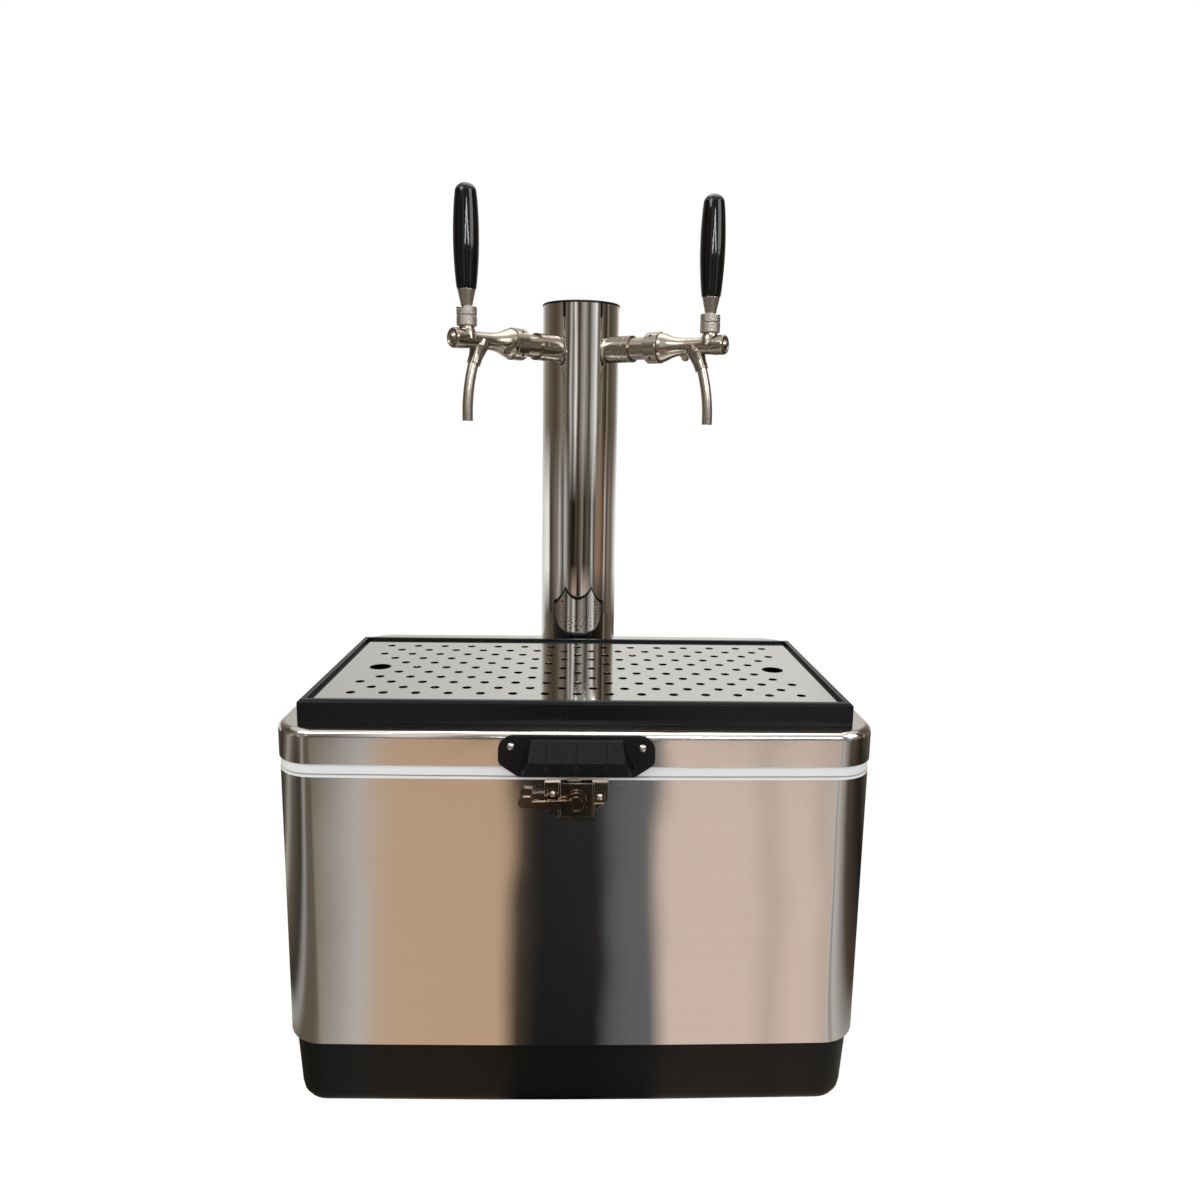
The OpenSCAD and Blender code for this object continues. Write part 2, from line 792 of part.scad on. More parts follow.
module lid_skin() {
  color(steel) difference() {
    lid_form(0, skin_z + seat);
    // The inside steps in under the rounded edge, so that the sheet keeps its thickness
    for (t = [0, 34, asin(1 - skin_t / lid_edge_r)])
      translate([0, 0, skin_z - 1])
        linear_extrude(lid_top - lid_edge_r * (1 - sin(t)) - skin_z + 1)
          lid_plan(skin_t + lid_edge_r * (1 - cos(t)));
    line_hole(line_hole_r);
    front_holes(handle_screw_points, front_y - 2, 12);
    back_holes(skin_z + leaf_h / 2 - 2);
    tower_bolt_places() translate([0, 0, lid_top - 10]) cylinder(r = 2.1, h = 20);
  }
}

module lid_foam() {
  color(foam_yellow) difference() {
    lid_form(skin_t + band_wall + seat, lid_under + lid_floor_t + seat);
    line_hole(line_hole_r);
    front_holes(handle_screw_points, front_y - 2, 24);
    back_holes(skin_z + leaf_h / 2 - 2);
    tower_bolt_places() translate([0, 0, lid_top - 20]) cylinder(r = 2.1, h = 30);
  }
}

module seal_slab(z, h, inset) {
  translate([0, 0, z]) linear_extrude(h) plan(lid_w - 2 * inset, lid_d - 2 * inset, 24, 0);
}

// White pan of the lid, with its outer band and the plug that enters the cavity
module lid_liner() {
  color(white_plastic) difference() {
    union() {
      translate([0, 0, lid_under]) linear_extrude(band_h) lid_plan(1.5);
      cavity_slab(lid_under - plug_h, plug_h + slab, plug_gap);
    }
    translate([0, 0, lid_under + lid_floor_t]) linear_extrude(band_h) lid_plan(skin_t + band_wall);
    cavity_slab(lid_under - plug_h - 1, plug_h, plug_gap + 3);
    difference() {
      seal_slab(lid_under - 1, 3.3, seal_inset - fit);
      seal_slab(lid_under - 2, 6, seal_inset + seal_w + fit);
    }
    line_hole(line_hole_r);
  }
}

module lid_seal() {
  color(rubber_black) difference() {
    seal_slab(body_h + seal_lift, lid_gap - seal_lift + 2.2, seal_inset);
    seal_slab(body_h - 1, 6, seal_inset + seal_w);
  }
}

/* Lid handle */

module handle_outline() {
  half = handle_w / 2;
  hull() {
    for (s = [-1, 1]) {
      translate([s * (half - handle_corner_r), handle_top - handle_corner_r]) circle(handle_corner_r);
      translate([s * (half - 8), handle_low + 18]) circle(8);
      translate([s * (half - 22), handle_low + 6]) circle(6);
    }
  }
}

// Hood of the handle, grown or drawn in by a wall: foot on the flange, top edge, ridge and lower lip
module hood_form(wall, low) {
  ridge_half = ridge_w / 2 - wall;
  foot_half = hood_half - wall;
  hull() {
    translate([-foot_half, front_y - handle_flange_t, low]) cube([2 * foot_half, handle_flange_t, 5]);
    translate([-ridge_half + 2, front_y - 5.5 + wall, handle_top - 6 - wall])
      cube([2 * ridge_half - 4, 5, 1]);
    translate([-ridge_half, front_y - handle_out + wall, handle_low + 19 - wall])
      cube([2 * ridge_half, 4, 3]);
    translate([-ridge_half - 5, front_y - handle_out + 3 + wall, low]) cube([2 * ridge_half + 10, 4, 1]);
  }
}

module lid_handle() {
  color(black_plastic) difference() {
    union() {
      translate([0, front_y - seat, 0]) rotate([90, 0, 0]) linear_extrude(handle_flange_t) handle_outline();
      difference() {
        hood_form(0, handle_low + 6.5);
        translate([-handle_w, front_y - seat, 0]) cube([2 * handle_w, 20, 2 * lid_top]);
      }
    }
    difference() {
      hood_form(hood_wall, handle_low + 4);
      translate([-handle_w, front_y - handle_flange_t, 0]) cube([2 * handle_w, 20, 2 * lid_top]);
    }
    // Grooves that follow the hood's outside
    difference() {
      for (i = [-1:1]) translate([i * groove_pitch - groove_w / 2, front_y - handle_out - 1, handle_low])
        cube([groove_w, handle_out - handle_flange_t, 2 * handle_h]);
      hood_form(groove_depth, handle_low);
    }
    translate([-11, front_y - 2.6, skin_z - 20]) cube([18, 3, 31]);
    front_holes(handle_screw_points, front_y - handle_flange_t - 2, 12);
  }
}

module lid_screws() {
  color(steel) {
    for (p = handle_screw_points)
      front_screw(p[0], front_y - handle_flange_t - 2 * seat, p[1], 4, 18);
    back_screws(skin_z + leaf_h / 2 - 2);
  }
}

/* Drip tray */

module drip_pan() {
  inner_w = tray_w - 2 * rail_w;
  inner_d = tray_d - 2 * rail_w;
  chamfer = 2.5;
  color(black_plastic) translate([0, tray_y, lid_top + fit]) difference() {
    hull() {
      translate([-tray_w / 2, -tray_d / 2, 0]) cube([tray_w, tray_d, tray_h - chamfer]);
      translate([-tray_w / 2 + chamfer, -tray_d / 2 + chamfer, 0])
        cube([tray_w - 2 * chamfer, tray_d - 2 * chamfer, tray_h - fit]);
    }
    translate([-inner_w / 2, -inner_d / 2, grate_z - lid_top - 2 * fit]) cube([inner_w, inner_d, tray_h]);
    translate([-inner_w / 2 + side_ledge, -inner_d / 2 + end_ledge, pan_floor_t])
      cube([inner_w - 2 * side_ledge, inner_d - 2 * end_ledge, tray_h]);
  }
}

// Row r counts from the back; even rows are staggered by half a pitch
module grate_holes(r) {
  middle = (hole_rows + 1) / 2;
  row_y = (middle - r) * row_pitch;
  full = r % 2 == 1 ? long_row : long_row - 1;
  n = abs(r - middle) <= 1 ? full - 2 : full;
  for (k = [0:n - 1]) translate([(k - (n - 1) / 2) * hole_pitch, row_y, -1])
    cylinder(r = hole_r, h = grate_t + 2);
}

module tray_grate() {
  plate_x = tray_w - 2 * rail_w - 2 * grate_side_gap;
  plate_y = tray_d - 2 * rail_w - 2 * grate_end_gap;
  color(mirror_steel) translate([0, tray_y, grate_z]) difference() {
    translate([-plate_x / 2, -plate_y / 2, 0]) cube([plate_x, plate_y, grate_t]);
    for (r = [1:hole_rows]) grate_holes(r);
    for (s = [-1, 1]) translate([s * finger_x, 0, -1]) cylinder(r = finger_r, h = grate_t + 2);
  }
}

/* Column */

module tower_flange() {
  color(mirror_steel) translate([0, tower_y, lid_top + fit]) difference() {
    union() {
      cylinder(r = flange_r, h = flange_t - 2 * fit);
      cylinder(r = tower_r - tower_t - fit, h = flange_t + 14);
    }
    translate([0, 0, -1]) cylinder(r = tower_r - tower_t - 4, h = flange_t + 20);
    translate([0, -tower_y, -lid_top]) tower_bolt_places()
      translate([0, 0, lid_top - 10]) cylinder(r = 2.1, h = 30);
  }
}

module tower_bolts() {
  color(steel) tower_bolt_places() translate([0, 0, lid_top + flange_t]) {
    cylinder(r1 = 4.2, r2 = 3, h = 2.4);
    translate([0, 0, -flange_t - 14]) cylinder(r = 2, h = flange_t + 14 + eps);
  }
}

module tower_tube() {
  color(mirror_steel) difference() {
    translate([0, tower_y, tube_z]) cylinder(r = tower_r, h = tower_top - cap_t - tube_z, $fn = 96);
    translate([0, tower_y, tube_z - 1]) cylinder(r = tower_r - tower_t, h = tower_h, $fn = 96);
    for (a = [left_angle, right_angle]) at_tap(a) turn_x(0, tower_r + 10, shank_r + fit);
  }
}

module tower_cap() {
  color(black_plastic) translate([0, tower_y, tower_top - cap_t + fit]) {
    rotate_extrude($fn = 96) polygon([
      [0, 0], [tower_r + 0.8, 0], [tower_r + 0.8, cap_t - 1], [tower_r, cap_t - fit], [0, cap_t - fit]
    ]);
    difference() {
      translate([0, 0, -12]) cylinder(r = tower_r - tower_t - fit, h = 12 + eps);
      translate([0, 0, -13]) cylinder(r = tower_r - tower_t - 3, h = 13);
    }
  }
}

/* Taps: each is drawn along +X from the column's axis, then turned to its direction */

module at_tap(a) {
  translate([0, tower_y, tap_z]) rotate([0, 0, a]) children();
}

// Cylinder along +X between two stations
module turn_x(x0, x1, r) {
  translate([x0, 0, 0]) rotate([0, 90, 0]) cylinder(r = r, h = x1 - x0);
}

// Revolved profile along +X, from points of station and radius
module revolve_x(points) {
  rotate([0, 90, 0]) rotate_extrude() polygon([for (p = points) [p[1], p[0]]]);
}

module shank() {
  bore_r = 3.2;
  difference() {
    union() {
      turn_x(shank_in, ring_end, shank_r);
      turn_x(collar_end + seat, ring_end, collar_r);
      turn_x(ring_end - eps, shank_out, thread_r);
      revolve_x([[4, 0], [4, 3.8], [8, 5], [9, 4.2], [13, 5], [14, 4.2], [18, 5], [20 + eps, 5], [20 + eps, 0]]);
    }
    turn_x(0, shank_out + 1, bore_r);
    translate([collar_end + 9, 0, 0]) rotate([0, 90, 0]) difference() {
      cylinder(r = collar_r + 1, h = 0.8);
      translate([0, 0, -1]) cylinder(r = collar_r - 0.6, h = 3);
    }
  }
}

module shank_collar() {
  difference() {
    turn_x(tower_r - 4, collar_end, collar_r);
    turn_x(0, collar_end + 1, shank_r + fit);
    translate([0, 0, -collar_r - 1]) cylinder(r = tower_r + fit, h = 2 * collar_r + 2, $fn = 96);
  }
}

module shank_nut() {
  nut_r = 16;
  nut_face = sqrt(pow(tower_r - tower_t, 2) - pow(nut_r, 2)) - 0.2;
  difference() {
    translate([nut_face - 8, 0, 0]) rotate([0, 90, 0]) cylinder(r = nut_r, h = 8, $fn = 6);
    turn_x(0, tower_r, shank_r + fit);
  }
}

module coupling_nut() {
  lip_x = shank_out + tail_flange_t + seat;
  difference() {
    revolve_x([[coupling_in, 0], [coupling_in, coupling_r - 1], [coupling_in + 1, coupling_r],
      [coupling_out - 1, coupling_r], [coupling_out, coupling_r - 1], [coupling_out, 0]]);
    turn_x(coupling_in - 1, lip_x, thread_r + fit);
    turn_x(coupling_in, coupling_out + 1, tail_r + fit);
    for (a = [45:90:315]) rotate([a, 0, 0]) translate([(coupling_in + coupling_out) / 2, 0, thread_r + 2])
      cylinder(r = 2.2, h = 6);
  }
}

module tap_body() {
  difference() {
    union() {
      turn_x(shank_out + seat, shank_out + tail_flange_t, thread_r - 0.5);
      turn_x(shank_out + 1, coupling_out + 2, tail_r);
      revolve_x([[coupling_out + seat, 0], [coupling_out + seat, 17], [coupling_out + 1, 18],
        [128, 17.9], [131, 17], [134.5, 15.4], [139, 13.6], [144, 12.2], [149, 11.2], [155, 10.5],
        [163, 10.1], [178, 10.1], [190, 10.7], [body_end - 5, 11.8], [body_end, 11.9], [body_end, 0]]);
      // Neck under the handle and the slanted boss of the spout
      translate([handle_reach, 0, 0]) rotate_extrude()
        polygon([[0, 0], [12, 0], [10.6, 8], [9.4, 11.5], [9.2, neck_top], [0, neck_top]]);
      translate([spout_x, 0, 0]) rotate([0, 180 - 22, 0]) rotate_extrude()
        polygon([[0, 0], [11, 0], [11.5, 8], [10, 14], [8.4, 22], [8.2, 31], [0, 31]]);
      // Boss of the flow lever
      translate([flow_x, 0, 0]) rotate([-90, 0, 0]) cylinder(r = flow_hub_r - 0.6, h = flow_hub_y - 0.3);
    }
    turn_x(shank_out - 1, shank_out + 6, 4);
    turn_x(shank_out + tail_flange_t, chamber_end, chamber_r);
    turn_x(chamber_end - 1, body_end, 3.5);
    turn_x(seat_end, body_end + 1, guide_r + fit);
    spout_path(spout_r + fit, 0, 6);
    translate([spout_x, 0, 0]) rotate([0, 180 - 22, 0]) translate([0, 0, 4.4]) cylinder(r = 3.6, h = 24);
    // Slot through which the handle's arm swings
    translate([handle_reach - 8.6, -2.6, 0]) cube([11.8, 5.2, neck_top + 1]);
    translate([handle_reach - arm_travel - tip_r - 0.6, -2.6, 0]) cube([arm_travel + tip_r, 5.2, 8]);
    translate([handle_reach - 2, 0, 0]) cylinder(r = 3.3, h = neck_top + 1);
    // Hole of the flow lever's spindle
    translate([flow_x, 0, 0]) rotate([-90, 0, 0]) cylinder(r = 3 + fit, h = 30);
  }
}

module end_cap() {
  difference() {
    revolve_x([[body_end + seat, 0], [body_end + seat, 11.9], [body_end + 7, 11.9],
      [cap_end - 3.4, 10.6], [cap_end - 3, 8.6], [cap_end - 4, 7.6], [cap_end - 3.4, 6],
      [cap_end - 1, 3.6], [cap_end, 0]]);
    turn_x(body_end - 1, body_end + 1.6, guide_r);
  }
}

// Straight mouth and bent length of the spout, from a ring or a disc
module spout_path(outer, inner, below) {
  translate([handle_reach - spout_bend, 0, spout_straight - spout_drop]) rotate([90, 0, 0])
    rotate_extrude(angle = spout_turn, $fn = 144) translate([spout_bend, 0]) ring(outer, inner);
  translate([handle_reach, 0, -spout_drop - below])
    linear_extrude(spout_straight + below) ring(outer, inner);
}

module ring(outer, inner) {
  difference() {
    circle(outer);
    if (inner > 0) circle(inner);
  }
}

module spout() {
  spout_path(spout_r, spout_r - spout_t, 0);
}

module bonnet_hollow() {
  translate([handle_reach, 0, ball_z]) {
    sphere(ball_r + 0.3);
    translate([0, 0, -12]) cylinder(r = ball_r + 0.3, h = 12);
    translate([-stem_r - 0.4, -stem_r - 0.4, 0]) cube([stem_r + 11.2, 2 * stem_r + 0.8, 20]);
    rotate([0, tilt_max, 0]) translate([0, 0, ferrule_z - ball_z - 0.4])
      cylinder(r = ferrule_foot_r + 0.6, h = 20);
  }
}

module bonnet_nut() {
  difference() {
    translate([handle_reach, 0, 0]) rotate_extrude() polygon([
      [0, neck_top + seat], [bonnet_r - 0.8, neck_top + seat], [bonnet_r, neck_top + 1],
      [bonnet_r, ring_split - 0.9], [bonnet_r - 0.8, ring_split - seat], [0, ring_split - seat]
    ]);
    bonnet_hollow();
  }
}

module bonnet_cap() {
  difference() {
    translate([handle_reach, 0, 0]) rotate_extrude() polygon([
      [0, ring_split], [bonnet_r - 0.8, ring_split], [bonnet_r, ring_split + 0.8],
      [bonnet_r, bonnet_top - 1], [bonnet_r - 1, bonnet_top], [0, bonnet_top]
    ]);
    bonnet_hollow();
  }
}

// Ball, lower arm and upper stem of the handle
module handle_stem() {
  translate([handle_reach, 0, 0]) {
    translate([0, 0, ball_z]) sphere(ball_r);
    cylinder(r = arm_r, h = ball_z);
    sphere(tip_r);
    translate([0, 0, ball_z]) cylinder(r = stem_r, h = grip_z + 16 - ball_z);
  }
}

module handle_ferrule() {
  translate([handle_reach, 0, 0]) rotate_extrude() polygon([
    [stem_r + fit, ferrule_z], [ferrule_foot_r - 0.6, ferrule_z], [ferrule_foot_r, ferrule_z + 0.8],
    [ferrule_foot_r, ferrule_z + 2], [10.6, grip_z - 1], [10.6, grip_z - seat], [stem_r + fit, grip_z - seat]
  ]);
}

// Long barrel-shaped grip with a domed end
module handle_grip() {
  foot_r = 11.6;
  shoulder_r = 12.8;
  bulge = grip_d / 2 - (foot_r + shoulder_r) / 2;
  steps = 14;
  dome = 11;
  body_len = grip_len - dome;
  translate([handle_reach, 0, grip_z]) difference() {
    rotate_extrude() polygon(concat(
      [[0, 0], [foot_r - 0.8, 0]],
      [for (i = [0:steps]) let (t = i / steps)
        [foot_r + (shoulder_r - foot_r) * t + bulge * pow(sin(180 * t), 0.8), 0.8 + t * (body_len - 0.8)]],
      [for (a = [15:15:75]) [shoulder_r * cos(a), body_len + dome * sin(a)]],
      [[0, grip_len]]
    ));
    translate([0, 0, -1]) cylinder(r = stem_r + fit, h = 17.2);
  }
}

module plunger() {
  difference() {
    union() {
      turn_x(chamber_end - 5.5, chamber_end - 0.2, 6.2);
      turn_x(chamber_end - 1, handle_reach - 6, 2.2);
      turn_x(handle_reach - 8, handle_reach + 11, guide_r);
    }
    translate([handle_reach - tip_r - 0.3, -tip_r - 0.2, -tip_r - 0.4])
      cube([2 * tip_r + 0.6, 2 * tip_r + 0.4, 12]);
  }
}

// Side lever of the flow control, with its spindle and eccentric pin
module flow_lever() {
  drop = 35;
  arm = 25;
  translate([flow_x, 0, 0]) rotate([-90, 0, 0]) {
    translate([0, 0, 5]) cylinder(r = 3, h = flow_hub_y - 5 + eps);
    translate([0, -2.5, 2]) cylinder(r = 1.2, h = 3 + eps);
    translate([0, 0, flow_hub_y]) {
      cylinder(r1 = flow_hub_r, r2 = flow_hub_r - 0.6, h = 6.5);
      rotate([0, 0, drop]) {
        translate([0, -2.6, 1]) cube([arm - 5, 5.2, 3.4]);
        translate([arm - 5, 0, 1]) cylinder(r = 4.6, h = 3.8);
      }
    }
  }
}

module compensator() {
  nose_x = shank_out + 2;
  difference() {
    union() {
      revolve_x([[nose_x, 0], [nose_x, 2.4], [nose_x + 4.5 + eps, 3.4], [nose_x + 4.5 + eps, 0]]);
      turn_x(nose_x + 4.5, nose_x + 9, chamber_r - fit);
      turn_x(nose_x + 9 - eps, flow_x + 3, 4.5);
    }
    for (a = [45:90:315]) rotate([a, 0, 0]) translate([nose_x + 4, -1.2, 4.4]) cube([6, 2.4, 4]);
    translate([flow_x - 1.45, 1.6, -6]) cube([2.9, 6, 12]);
  }
}

module both_taps() {
  for (a = [left_angle, right_angle]) at_tap(a) children();
}

module tap_shanks() { color(nickel) both_taps() shank(); }
module shank_collars() { color(nickel) both_taps() shank_collar(); }
module shank_nuts() { color(nickel) both_taps() shank_nut(); }
module coupling_nuts() { color(nickel) both_taps() coupling_nut(); }
module end_caps() { color(nickel) both_taps() end_cap(); }
module bonnet_nuts() { color(satin_steel) both_taps() bonnet_nut(); }
module bonnet_caps() { color(satin_steel) both_taps() bonnet_cap(); }
module tap_body_left() { color(nickel) at_tap(left_angle) tap_body(); }
module tap_body_right() { color(nickel) at_tap(right_angle) tap_body(); }
module spout_left() { color(nickel) at_tap(left_angle) spout(); }
module spout_right() { color(nickel) at_tap(right_angle) spout(); }
module handle_stem_left() { color(steel) at_tap(left_angle) handle_stem(); }
module handle_stem_right() { color(steel) at_tap(right_angle) handle_stem(); }
module handle_ferrule_left() { color(nickel) at_tap(left_angle) handle_ferrule(); }
module handle_ferrule_right() { color(nickel) at_tap(right_angle) handle_ferrule(); }
module handle_grip_left() { color(black_plastic) at_tap(left_angle) handle_grip(); }
module handle_grip_right() { color(black_plastic) at_tap(right_angle) handle_grip(); }
module plunger_left() { color(steel) at_tap(left_angle) plunger(); }
module plunger_right() { color(steel) at_tap(right_angle) plunger(); }
module flow_lever_left() { color(nickel) at_tap(left_angle) flow_lever(); }
module flow_lever_right() { color(nickel) at_tap(right_angle) flow_lever(); }
module compensator_left() { color(steel) at_tap(left_angle) compensator(); }
module compensator_right() { color(steel) at_tap(right_angle) compensator(); }

base_pan();
steel_belt();
body_foam();
inner_liner();
latch_plate();
hinge_body_leaves();
hinge_pins();
body_screws();
end_brackets();
drain_spout();
cold_plate();
cold_plate_feet();
cold_plate_nipples();
beer_inlets();
inlet_nuts();
lid_skin();
lid_foam();
lid_liner();
lid_seal();
lid_handle();
lid_screws();
latch_keeper();
hinge_lid_leaves();
drip_pan();
tower_flange();
tower_bolts();
tower_tube();
tower_cap();
tap_shanks();
shank_collars();
shank_nuts();
coupling_nuts();
tap_body_left();
tap_body_right();
end_caps();
bonnet_nuts();
bonnet_caps();
spout_left();
spout_right();
tray_grate();
latch_lever();
end_bail_left();
end_bail_right();
end_grip_left();
end_grip_right();
drain_cap();
handle_stem_left();
handle_stem_right();
handle_ferrule_left();
handle_ferrule_right();
handle_grip_left();
handle_grip_right();
plunger_left();
plunger_right();
flow_lever_left();
flow_lever_right();
compensator_left();
compensator_right();
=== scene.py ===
import json
import math

import bpy
from mathutils import Matrix, Vector


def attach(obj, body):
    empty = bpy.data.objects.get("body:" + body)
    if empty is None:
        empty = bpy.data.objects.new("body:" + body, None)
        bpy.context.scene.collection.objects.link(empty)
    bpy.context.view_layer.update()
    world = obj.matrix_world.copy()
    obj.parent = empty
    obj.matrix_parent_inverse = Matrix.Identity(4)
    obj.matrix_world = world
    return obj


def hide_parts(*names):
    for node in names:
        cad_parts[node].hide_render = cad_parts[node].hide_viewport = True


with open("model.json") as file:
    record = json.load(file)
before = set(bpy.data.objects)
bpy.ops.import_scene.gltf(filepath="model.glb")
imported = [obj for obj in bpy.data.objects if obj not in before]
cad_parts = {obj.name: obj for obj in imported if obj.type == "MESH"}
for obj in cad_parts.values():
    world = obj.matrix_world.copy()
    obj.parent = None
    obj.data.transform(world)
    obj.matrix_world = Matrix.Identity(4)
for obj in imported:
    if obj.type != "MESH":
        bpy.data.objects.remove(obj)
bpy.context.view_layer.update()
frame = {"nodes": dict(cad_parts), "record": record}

nodes = frame["nodes"]
bodyOf = {name: body for body, names in frame["record"]["behaviour"]["bodies"].items() for name in names}


# camera: the photograph's place and lens, in metres, degrees and, for the lens, millimetres
camera = {"place": (-0.001, -1.064, 0.7226), "down": 9.27, "right": 1.47, "roll": 0.87,
          "lens": 26.4, "sensor": 36, "shiftUp": -0.0178}
lens = bpy.data.cameras.new("photoLens")
lens.lens = camera["lens"]
lens.sensor_width = camera["sensor"]
lens.shift_y = camera["shiftUp"]
lens.dof.use_dof = False
eye = bpy.data.objects.new("photoCamera", lens)
bpy.context.scene.collection.objects.link(eye)
eye.matrix_world = (Matrix.Translation(camera["place"])
                    @ Matrix.Rotation(math.radians(-camera["right"]), 4, "Z")
                    @ Matrix.Rotation(math.radians(90 - camera["down"]), 4, "X")
                    @ Matrix.Rotation(math.radians(camera["roll"]), 4, "Z"))
bpy.context.scene.camera = eye
bpy.context.scene.view_settings.view_transform = "Standard"
print("camera set")


# shader sums are written as Python sums: a Wire is one socket
class Wire:
    def __init__(self, finish, socket):
        self.finish = finish
        self.socket = socket

    def sum(self, operation, *values):
        return self.finish.add("ShaderNodeMath", {"operation": operation}, dict(enumerate(values)))

    def __add__(self, other):
        return self.sum("ADD", self, other)

    def __radd__(self, other):
        return self.sum("ADD", other, self)

    def __sub__(self, other):
        return self.sum("SUBTRACT", self, other)

    def __rsub__(self, other):
        return self.sum("SUBTRACT", other, self)

    def __mul__(self, other):
        return self.sum("MULTIPLY", self, other)

    def __truediv__(self, other):
        return self.sum("DIVIDE", self, other)

    def above(self, level):
        return self.sum("GREATER_THAN", self, level)

    def size(self):
        return self.sum("ABSOLUTE", self)

    def swing(self):  # a noise with its mean level taken off
        return self - 0.5

    def between(self, low, high):  # 0 at low, 1 at high, held at both ends
        return self.finish.add("ShaderNodeMapRange", {"clamp": True},
                               {"Value": self, "From Min": low, "From Max": high})


class Finish:
    def __init__(self, name, holder=None):
        self.holder = holder or bpy.data.materials.new(name)
        self.holder.use_nodes = True
        self.tree = self.holder.node_tree
        self.tree.nodes.clear()

    def add(self, kind, settings=None, sockets=None, out=0):
        node = self.tree.nodes.new(kind)
        for key, value in (settings or {}).items():
            if key == "stops":
                ramp = node.color_ramp.elements
                while len(ramp) > 1:
                    ramp.remove(ramp[-1])
                ramp[0].position, ramp[0].color = value[0][0], (*value[0][1], 1)
                for place, colour in value[1:]:
                    ramp.new(place).color = (*colour, 1)
            else:
                setattr(node, key, value)
        for key, value in (sockets or {}).items():
            if isinstance(value, Wire):
                self.tree.links.new(value.socket, node.inputs[key])
            else:
                node.inputs[key].default_value = value
        return Wire(self, node.outputs[out] if node.outputs else None)

    def several(self, kind, names, sockets=None):  # one node, and the wires of the named outputs
        outputs = self.add(kind, {}, sockets).socket.node.outputs
        return [Wire(self, outputs[name]) for name in names]

    def place(self, stretch=(1, 1, 1)):  # object coordinates in metres, stretched
        point = self.add("ShaderNodeTexCoord", out=3)
        return self.add("ShaderNodeMapping", {}, {"Vector": point, "Scale": stretch})

    def noise(self, vector, scale=1.0, detail=2.0, rough=0.5):
        return self.add("ShaderNodeTexNoise", {},
                        {"Vector": vector, "Scale": scale, "Detail": detail, "Roughness": rough})

    def mix(self, factor, first, second):
        return self.add("ShaderNodeMix", {"data_type": "RGBA"}, {0: factor, 6: first, 7: second}, out=2)

    def bump(self, height, strength, depth, under=None):
        sockets = {"Height": height, "Strength": strength, "Distance": depth}
        if under:
            sockets["Normal"] = under
        return self.add("ShaderNodeBump", {}, sockets)

    def surface(self, **sockets):
        plain = {key.replace("_", " "): value for key, value in sockets.items()}
        shader = self.add("ShaderNodeBsdfPrincipled", {}, plain)
        self.add("ShaderNodeOutputMaterial", {}, {"Surface": shader})
        return self.holder


def shade(colour, factor):
    return tuple(min(1.0, c * factor) for c in colour) + (1.0,)


toneBand = (0.25, 0.75)  # the levels that a sum of noises keeps within
wideBand = (0.1, 0.9)

# brushed sheet: fine level lines on the walls, and an upright smear of what they reflect
brushed = {"colour": (0.74, 0.725, 0.705), "spread": 0.05, "rough": 0.135, "roughSpread": 0.05,
           "smear": 1.0, "smearTurn": 0.25, "linesPerMetre": 2200, "lineStretch": 3.0, "fineShare": 0.6,
           "broadPerMetre": 420, "broadStretch": 1.5, "cloudsPerMetre": 7.0, "lineTone": 0.9,
           "cloudTone": 0.5, "bump": 0.06, "depth": 0.0001, "wavesPerMetre": 6.5, "waveDepth": 0.002}


def brushedSheet(name, flat):
    def along(stretch, perMetre):
        return (stretch, perMetre, stretch) if flat else (stretch, stretch, perMetre)

    f = Finish(name)
    fine = f.noise(f.place(along(brushed["lineStretch"], brushed["linesPerMetre"])), detail=3.0, rough=0.6)
    broad = f.noise(f.place(along(brushed["broadStretch"], brushed["broadPerMetre"])), detail=4.0, rough=0.65)
    cloud = f.noise(f.place(), brushed["cloudsPerMetre"], 3.0)
    lines = fine * brushed["fineShare"] + broad * (1 - brushed["fineShare"])
    tone = lines.swing() * brushed["lineTone"] + cloud.swing() * brushed["cloudTone"] + 0.5
    colour = f.mix(tone.between(*wideBand), shade(brushed["colour"], 1 - brushed["spread"]),
                   shade(brushed["colour"], 1 + brushed["spread"]))
    rough = (brushed["rough"] + cloud.swing() * brushed["roughSpread"]
             + lines.swing() * brushed["roughSpread"])
    slow = f.bump(f.noise(f.place(), brushed["wavesPerMetre"], 1.0), 1.0, brushed["waveDepth"])
    sockets = {"Base_Color": colour, "Metallic": 1.0, "Roughness": rough,
               "Normal": f.bump(lines, brushed["bump"], brushed["depth"], slow)}
    if not flat:
        sockets["Anisotropic"] = brushed["smear"]
        sockets["Anisotropic_Rotation"] = brushed["smearTurn"]
    return f.surface(**sockets)


# polished sheet and tube: nearly a mirror, with a slow wave from the rolling and faint wiping marks
def polished(name, look):
    f = Finish(name)
    wave = f.noise(f.place(look["waveStretch"]), detail=1.0)
    smear = f.noise(f.place(), look["smearScale"], 4.0, 0.6)
    scratch = f.noise(f.place(look["scratchStretch"]))
    dull = smear.between(*look["dullBand"])
    colour = f.mix(dull * look["dullShare"], shade(look["colour"], 1.0),
                   shade(look["colour"], look["dullShade"]))
    rough = (look["rough"] + dull * look["roughSpread"]
             + scratch.swing() * look["roughSpread"] * look["scratchRough"])
    first = f.bump(wave, look["waveBump"], look["waveDepth"])
    return f.surface(Base_Color=colour, Metallic=1.0, Roughness=rough,
                     Normal=f.bump(scratch, look["scratchBump"], look["scratchDepth"], first))


